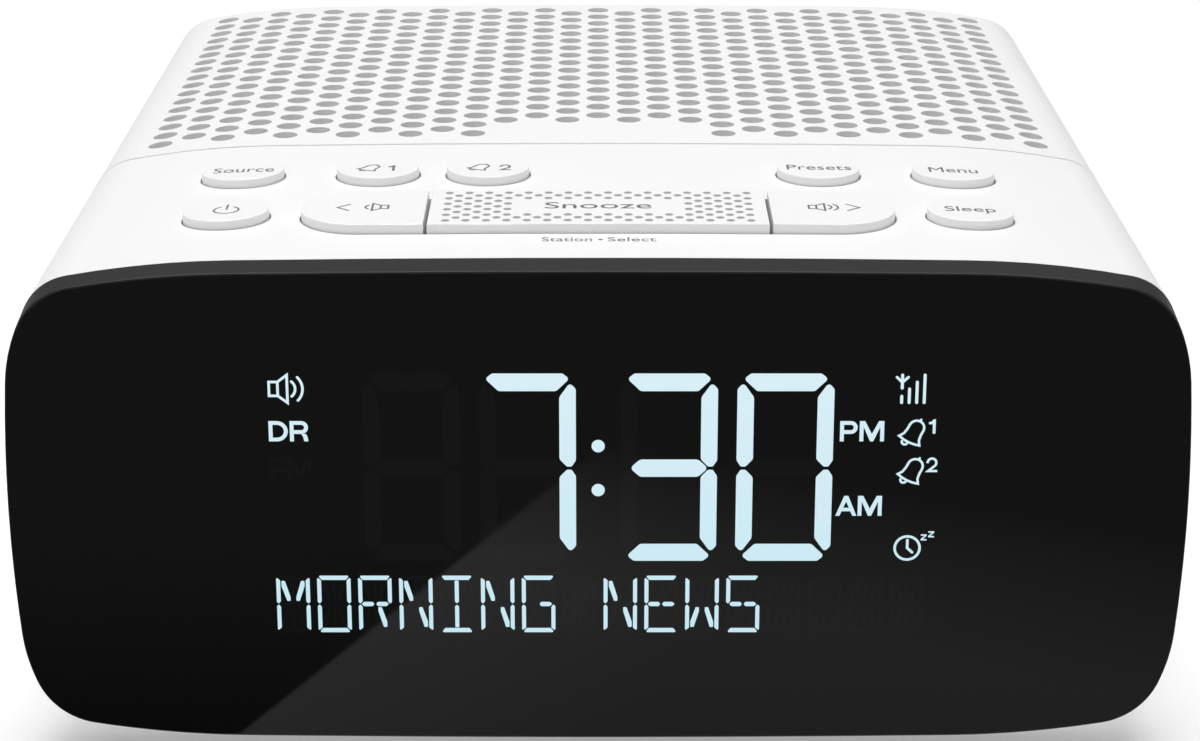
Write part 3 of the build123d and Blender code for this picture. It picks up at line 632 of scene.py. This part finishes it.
def speaker_icon(drawing, x, y, half, width, waves=2, flip=1):
    """Loudspeaker outline: x is its mouth, half is half the mouth's height; flip -1 faces it left."""
    def at(u, v):
        return (x + flip * u * half, y + v * half)

    corners = [(-1.24, 0.5), (-1.24, -0.5), (-0.65, -0.5), (0, -1), (0, 1), (-0.65, 0.5)]
    drawing.stroke([at(u, v) for u, v in corners], width, closed=True)
    drawing.stroke([at(-0.65, 0.42), at(-0.65, -0.42)], width, square=True)
    for radius, spread in ((0.7, 50), (1.2, 44))[:waves]:
        drawing.stroke([at(u, v) for u, v in arc((-0.15, 0), radius, spread, -spread, 12)], width)


def bell_icon(drawing, x, y, height, width):
    """Alarm bell outline leaning to the right; x and y are the middle of its rim."""
    turn = radians(-27)

    def at(points):
        return [(x + height * (u * cos(turn) - v * sin(turn)), y + height * (u * sin(turn) + v * cos(turn)))
                for u, v in points]

    side = [(0.33, 0.45), (0.37, 0.2), (0.5, 0.0), (0.25, -0.06)]
    outline = arc((0, 0.665), 0.33, 180, 0, 12) + side + [(0, -0.08)] + [(-u, v) for u, v in reversed(side)]
    drawing.stroke(at(outline), width, closed=True)
    drawing.stroke(at([(0, 1.02), (0, 1.08)]), width)
    drawing.stroke(at(arc((-0.15, -0.13), 0.13, 195, 345, 8)), width)


def bold_letter(drawing, letter, x, y, width, height, stem):
    """Plain bold capital or figure with its lower left corner at x, y.

    The numbers are shares of its width, its height or its stem.
    """
    def add(points):
        drawing.polygon([(x + u, y + v) for u, v in points])

    def both(points):
        add(points)
        add([(width - u, v) for u, v in reversed(points)])

    def loop(points):
        drawing.stroke([(x + u, y + v) for u, v in points], stem, closed=True)

    half, top, right, middle = stem / 2, height - stem / 2, width - stem / 2, width / 2
    if letter == "M":
        valley, foot, shoulder = height * 0.36, height * 0.72, stem * 1.35
        both([(0, 0), (0, height), (shoulder, height), (middle, valley), (middle, 0),
              (middle - stem * 0.4, 0), (stem, foot), (stem, 0)])
    elif letter == "A":
        apex, bar_high, bar_low, foot = height * 0.72, height * 0.4, height * 0.23, stem * 1.05
        inner = [(middle - (middle - foot) * (apex - v) / apex, v) for v in (bar_high, bar_low, 0)]
        both([(0, 0), (middle - stem * 0.52, height), (middle, height), (middle, apex), inner[0],
              (middle, bar_high), (middle, bar_low), inner[1], inner[2]])
    elif letter == "D":
        bend = right - height * 0.42
        bow = [(bend + (right - bend) * cos(a), height / 2 + (top - height / 2) * sin(a))
               for a in (pi / 2 - pi * i / 16 for i in range(17))]
        loop([(half, half), (half, top)] + bow)
    elif letter in "PR":
        low = height * 0.46
        radius = (top - low) / 2
        bow = arc((right - radius, (top + low) / 2), radius, 90, -90, 12)
        loop([(half, low), (half, top)] + bow)
        add([(0, 0), (0, low - half), (stem, low - half), (stem, 0)])
        if letter == "R":
            add([(width - stem * 1.75, low - half), (width - stem * 0.6, low - half),
                 (width - stem * 0.2, low * 0.5), (width, 0), (width - stem * 1.05, 0),
                 (width - stem * 1.25, low * 0.4)])
    elif letter == "F":
        bar = height * 0.4
        add([(0, 0), (0, height), (width, height), (width, height - stem), (stem, height - stem),
             (stem, bar + stem), (width * 0.9, bar + stem), (width * 0.9, bar), (stem, bar), (stem, 0)])
    elif letter == "1":
        add([(width - stem, 0), (width - stem, height * 0.66), (0, height * 0.66), (0, height * 0.8),
             (width * 0.4, height * 0.85), (width - stem * 0.75, height), (width, height), (width, 0)])
    elif letter == "2":
        radius, rise = right - middle, height * 0.29
        hook = [(middle + radius * cos(a), top - rise + rise * sin(a))
                for a in (radians(170 - 215 * i / 14) for i in range(15))]
        points = hook + [(half * 1.6, half), (right, half)]
        drawing.stroke([(x + u, y + v) for u, v in points], stem, square=True)
    elif letter == "z":
        slope = stem * 1.4
        add([(0, height), (width, height), (width, height - stem), (slope, stem), (width, stem), (width, 0),
             (0, 0), (0, stem), (width - slope, height - stem), (0, height - stem)])


def display_icons():
    """The small symbols around the clock digits."""
    icons = Drawing("display_icons")
    speaker_icon(icons, -39.6, 49.12, 1.87, ICON_W)
    high, low = LABEL_Z[0], LABEL_Z[2]
    # letter, left edge, foot, width
    labels = (("D", -42.15, high, 2.45), ("R", -39.45, high, 2.35), ("P", 30.94, high, 2.25),
              ("M", 33.45, high, 3.14), ("A", 30.63, low, 2.72), ("M", 33.5, low, 3.10))
    for letter, x, z, width in labels:
        bold_letter(icons, letter, x, z, width, LABEL_H, LABEL_STEM)
    bold_letter(icons, "1", 42.28, 43.05, 0.87, 1.95, 0.36)
    bold_letter(icons, "2", 42.15, 37.78, 1.42, 2.02, 0.30)
    bold_letter(icons, "z", 41.78, 28.3, 0.76, 0.85, 0.19)
    bold_letter(icons, "z", 42.74, 28.73, 0.76, 0.85, 0.19)
    for z in (42.1, 36.85):
        bell_icon(icons, 39.83, z, 2.95, 0.3)
    mast, first, pitch, foot, bar_w, arm_w = 38.7, 38.68, 0.96, 47.27, 0.38, 0.34
    bar_tops = (48.13, 49.12, 50.04, 50.99)
    icons.stroke([(mast, 49.23), (mast, bar_tops[-1])], bar_w)
    icons.stroke([(mast - 0.7, 50.7), (mast, 50.0), (mast + 0.75, 50.7)], arm_w)
    for i, top in enumerate(bar_tops):
        icons.stroke([(first + pitch * i, foot), (first + pitch * i, top)], bar_w)
    clock = (40.07, 27.24)
    icons.stroke(arc(clock, 1.62, 0, 350, 35), ICON_W, closed=True)
    icons.stroke([(clock[0], 28.35), clock, (40.73, 26.64)], arm_w)
    return icons


def display(time, message):
    """Lit and unlit parts of the display, on the front face."""
    glow = lit("segment_light", SEGMENT_BLUE, 1.0)
    ghost = unlit()
    digits, faint = Drawing("clock_digits"), Drawing("unlit_segments")
    for x, value in zip(DIGIT_X, time):
        on = DIGITS.get(value, "")
        for segment in DIGITS["8"]:
            (digits if segment in on else faint).polygon(digit_segment(x, segment))
    for z in COLON_Z:
        digits.disc((0, z), COLON_R, 28)
    for letter, x, width in (("F", -42.15, 1.95), ("M", -39.9, 3.1)):
        bold_letter(faint, letter, x, LABEL_Z[1], width, LABEL_H, LABEL_STEM)
    text = Drawing("message_row")
    for cell in range(CHAR_CELLS):
        x = CHAR_FIRST + CHAR_PITCH * cell
        on = LETTERS.get(message[cell:cell + 1], "")
        for stroke in ALL_STROKES:
            (text if stroke in on else faint).polygon(char_segment(x, stroke))
    for drawing in (digits, text, display_icons()):
        drawing.piece(on_front, PRINT_T, glow, "case")
    faint.piece(on_front, PRINT_T / 2, ghost, "case")


# ---------------------------------------------------------------- deck legends

# Millimetres: u from the middle, v back from the front face.
LEGEND_T = 0.04  # thickness of the ink
LINE_W = 0.27
DOT_R = 0.55
DOT_PITCH = (2.68, 1.33)  # along a row, and from row to row
DOT_ROWS = 11
DOTS_BACK = 31.6  # the row furthest back
DOTS_HALF = 20.2  # half the width of the field
FRONT_ROW = 24.95  # middle of the symbols on the front row of caps
BELL_X = {"1": -32.36, "2": -17.0}


def legend(name, node, material, draw):
    """Printed legend on top of a node, riding with it; the snooze dots are a painted shade instead of
    print.
    """
    drawing = Drawing(name)
    draw(drawing)
    body = node.replace("_button", "") if node in BUTTONS else "case"
    drawing.piece(on_top(node), LEGEND_T, material, body)


def snooze_dots(drawing):
    """Staggered field of dots with a clear patch for the word in the middle; the dots are grey painted
    shade in the snooze cap's dimples.
    """
    across, back = DOT_PITCH
    for row in range(DOT_ROWS):
        offset = across / 2 if row % 2 == 0 else 0.0
        clear = 12.0 if row in (4, 6) else 13.3 if row in (3, 5, 7) else 0.0
        for i in range(-8, 9):
            x = offset + across * i
            if clear <= abs(x) <= DOTS_HALF:
                drawing.disc((x, DOTS_BACK - back * row), DOT_R, 14)


def deck_legends():
    """Words, symbols and dots on the caps, and the line of words in front of them."""
    ink = printed("legend_ink", LEGEND_GREY)
    # the snooze dots are painted shade: grey discs in the cap's dimples, standing for the shade in them
    dots = printed("dimple_shade_paint", DIMPLE_SHADE_GREY)
    # word, its middle, its width and its height
    words = {
        "source": ("Source", (-49.5, 45.0), 8.5, 2.5),
        "menu": ("Menu", (49.6, 44.9), 6.8, 2.5),
        "sleep": ("Sleep", (49.65, 24.8), 6.8, 3.0),
        "presets": ("Presets", (30.85, 45.4), 9.0, 2.5),
        "snooze": ("Snooze", (0.0, 25.35), 14.2, 3.0),
    }
    for name, (text, centre, width, height) in words.items():
        legend(f"{name}_legend", f"{name}_button", ink, lambda d: d.lettering(text, centre, width, height))

    def select(d):
        d.lettering("Station", (-4.05, 13.9), 6.5, 1.8)
        d.lettering("Select", (4.4, 13.9), 6.3, 1.8)
        d.disc((0.3, 13.8), 0.3, 12)

    legend("select_legend", "front_shell", ink, select)
    legend("snooze_dots", "snooze_button", dots, snooze_dots)

    def power(d):
        x = -49.6
        d.stroke(arc((x, 24.7), 1.65, 122, 418, 26), LINE_W)
        d.stroke([(x, 25.0), (x, 27.1)], LINE_W)

    legend("power_legend", "power_button", ink, power)
    for number, x in BELL_X.items():
        def alarm(d):
            bell_icon(d, x, 44.15, 2.75, 0.26)
            aside, width = (3.0, 0.95) if number == "1" else (3.2, 1.6)
            bold_letter(d, number, x + aside, 43.6, width, 2.8, 0.34)

        legend(f"alarm_{number}_legend", f"alarm_{number}_button", ink, alarm)

    def arrow(d, x, tip):
        d.stroke([(x, 26.4), (tip, 24.9), (x, 23.4)], LINE_W)

    def quieter(d):
        arrow(d, -33.2, -34.8)
        speaker_icon(d, -30.1, FRONT_ROW, 1.7, LINE_W, 1, -1)

    def louder(d):
        speaker_icon(d, 30.2, FRONT_ROW, 1.7, LINE_W)
        arrow(d, 33.2, 34.9)

    legend("volume_down_legend", "volume_down_button", ink, quieter)
    legend("volume_up_legend", "volume_up_button", ink, louder)


# ---------------------------------------------------------------- back panel symbols

# Millimetres: u from the middle, to the right seen from behind; v up from the panel's lower edge.
SYMBOL_W = 0.32
HEADPHONES = (-38.0, 26.4)
POLARITY = (38.0, 28.2)
BATTERY = (0.0, 24.6)
AERIAL = (14.0, 42.3)


def socket_symbols():
    """Plain symbols over the sockets on the back."""
    marks = Drawing("socket_symbols")
    x, z = HEADPHONES
    band, cup = 1.8, 1.55
    marks.stroke([(x - band, z - 0.7)] + arc((x, z), band, 180, 0, 16) + [(x + band, z - 0.7)], SYMBOL_W)
    for side in (x - cup, x + cup):
        marks.stroke([(side, z - 0.5), (side, z - 1.4)], 0.8)
    x, z = POLARITY
    ring, sign = 4.3, 0.55
    for centre in (x - ring, x + ring):
        marks.stroke(arc((centre, z), 1.1, 0, 345, 23), SYMBOL_W, closed=True)
        marks.stroke([(centre - sign, z), (centre + sign, z)], SYMBOL_W)
    marks.stroke([(x + ring, z - sign), (x + ring, z + sign)], SYMBOL_W)
    marks.stroke(arc((x, z), 1.2, 50, 310, 18), SYMBOL_W)
    marks.disc((x, z), 0.42, 16)
    marks.stroke([(x - 3.2, z), (x - 1.2, z)], SYMBOL_W)
    marks.stroke([(x, z), (x + 3.2, z)], SYMBOL_W)
    x, z = BATTERY
    marks.stroke([(x - 2, z - 1), (x - 2, z + 1), (x + 2, z + 1), (x + 2, z - 1)], SYMBOL_W, closed=True)
    marks.stroke([(x + 2.4, z - 0.35), (x + 2.4, z + 0.35)], SYMBOL_W)
    marks.stroke([(x - 1.3, z), (x + 1.0, z)], 1.1, square=True)
    x, z = AERIAL
    marks.stroke([(x, z), (x, z + 3.8)], SYMBOL_W)
    marks.stroke([(x - 1.4, z + 3.6), (x, z + 2.0), (x + 1.4, z + 3.6)], SYMBOL_W)
    marks.piece(on_back, LEGEND_T, printed("symbol_ink", SYMBOL_GREY), "case")


# ---------------------------------------------------------------- stage, light and camera

FLOOR_HALF = 4.0

# The card that the front reflects, in metres from the front face and from the middle.
CARD_NEAR = 0.001
CARD_FAR = 1.2
CARD_HALF = 0.9
CARD_UP = 0.0004
CARD_DIM = 0.07  # within this the card's own faint light falls off
CARD_LIGHT = (0.12, 0.03)  # that light beyond it, and at the face
WEDGE_START = -0.0499  # where the lit wedge's edge meets the face
WEDGE_SLOPE = -0.4465  # how far to the right the edge runs for each metre away from the face
WEDGE_WIDE = 0.05
WEDGE_LIGHT = (0.40, 0.27)  # at its edge, and this width inside it
FADE_ASIDE = -0.5  # how much sooner it fades out on the right
FADE = (-0.118, -0.052)  # dark beyond the first distance, full within the second

# Strength of the white surroundings, and its change to the sides and to the back.
WALL_LIGHT = 0.40
SIDE_CHANGE = -0.18
BACK_CHANGE = -0.10

CAMERA_AWAY = 355.5 * MM
CAMERA_UP = 174.7 * MM
CAMERA_DOWN = 19.1  # degrees below level
LENS = 88.86
SHIFT = 0.00154


def flat(name, corners, material):
    """One face of the stage."""
    data = bpy.data.meshes.new(name)
    data.from_pydata(corners, [], [tuple(range(len(corners)))])
    made = bpy.data.objects.new(name, data)
    bpy.context.scene.collection.objects.link(made)
    made.data.materials.append(material)
    return made


def reflection_card():
    """Dark card in front of the set that only reflections see, with a lit wedge on its right."""
    finish = Finish("reflection_card", (0, 0, 0), 1.0)
    finish.shader.inputs["Specular IOR Level"].default_value = 0.0
    x, y = finish.axis("X"), finish.calculate("SUBTRACT", finish.axis("Y"), FRONT_Y)
    edge = finish.calculate("MULTIPLY_ADD", y, WEDGE_SLOPE, WEDGE_START)
    past = finish.calculate("SUBTRACT", x, edge)
    inside = finish.ramp(past, -0.5 * MM, 0.5 * MM)
    strength = finish.ramp(past, 0.0, WEDGE_WIDE, *WEDGE_LIGHT)
    fade = finish.ramp(finish.calculate("MULTIPLY_ADD", x, FADE_ASIDE, y), *FADE)
    dim = finish.ramp(y, -CARD_DIM, 0.0, *CARD_LIGHT)
    wedge = finish.calculate("MULTIPLY", finish.calculate("MULTIPLY", inside, strength), fade)
    glow = finish.calculate("ADD", wedge, dim)
    finish.tree.links.new(glow, finish.shader.inputs["Emission Strength"])
    finish.shader.inputs["Emission Color"].default_value = (1, 1, 1, 1)
    near, far, wide, up = FRONT_Y - CARD_NEAR, FRONT_Y - CARD_FAR, CARD_HALF, CARD_UP
    corners = [(-wide, far, up), (wide, far, up), (wide, near, up), (-wide, near, up)]
    card = flat("reflection_card", corners, finish.material)
    for ray in ("camera", "diffuse", "transmission", "volume_scatter", "shadow"):
        setattr(card, "visible_" + ray, False)


def area(name, place, aim, size, power):
    """Round soft light of this size in metres and power in watts."""
    light = bpy.data.lights.new(name, "AREA")
    light.shape, light.size, light.energy = "DISK", size, power
    lamp = bpy.data.objects.new(name, light)
    lamp.location = place
    lamp.rotation_euler = (Vector(aim) - Vector(place)).to_track_quat("-Z", "Y").to_euler()
    bpy.context.scene.collection.objects.link(lamp)


def studio_walls():
    """White surroundings, dimmer to the left and right and a little brighter in front."""
    world = bpy.data.worlds.new("studio")
    world.use_nodes = True
    tree = world.node_tree

    def wired(kind, *sources, **settings):
        """Outputs of a new node whose inputs, in order, are these numbers or sockets."""
        node = tree.nodes.new("ShaderNode" + kind)
        for name, value in settings.items():
            setattr(node, name, value)
        for socket, source in zip(node.inputs, sources):
            if isinstance(source, float):
                socket.default_value = source
            else:
                tree.links.new(source, socket)
        return node.outputs

    way = wired("SeparateXYZ", wired("TexCoord")["Generated"])
    aside = wired("Math", way["X"], operation="ABSOLUTE")[0]
    level = wired("Math", aside, SIDE_CHANGE, WALL_LIGHT, operation="MULTIPLY_ADD")[0]
    level = wired("Math", way["Y"], BACK_CHANGE, level, operation="MULTIPLY_ADD")[0]
    background = tree.nodes["Background"].inputs
    background["Color"].default_value = (1, 1, 1, 1)
    tree.links.new(level, background["Strength"])
    bpy.context.scene.world = world


def stage():
    """Pale paper floor that glows a little, the reflection card and the lights."""
    paper = Finish("floor_paper", (0.74, 0.74, 0.74), 0.9, Emission_Strength=0.3)
    paper.shader.inputs["Emission Color"].default_value = (1, 1, 1, 1)
    paper.colours(paper.noise(60), (0.73, 0.73, 0.73), (0.75, 0.75, 0.75))
    signs = ((-1, -1), (1, -1), (1, 1), (-1, 1))
    flat("floor", [(FLOOR_HALF * x, FLOOR_HALF * y, 0) for x, y in signs], paper.material)
    reflection_card()
    area("top_light", place=(0.0, -0.03, 1.3), aim=(0, 0, 0), size=1.2, power=15.1)
    area("key_light", place=(-0.7, -0.3, 1.0), aim=(0, 0, 0.03), size=0.7, power=1.5)
    studio_walls()


def camera():
    """Low frontal view, looking down on the deck."""
    data = bpy.data.cameras.new("camera")
    data.sensor_width, data.lens = 36.0, LENS
    data.shift_x = SHIFT
    made = bpy.data.objects.new("camera", data)
    made.location = (0, FRONT_Y - CAMERA_AWAY, PANEL_LOW + CAMERA_UP)
    made.rotation_euler = (radians(90 - CAMERA_DOWN), 0, 0)
    bpy.context.scene.collection.objects.link(made)
    bpy.context.scene.camera = made


dress_frame()
display(" 730", "MORNING NEWS")
deck_legends()
socket_symbols()
stage()
camera()
bpy.context.scene.view_settings.view_transform = "Standard"
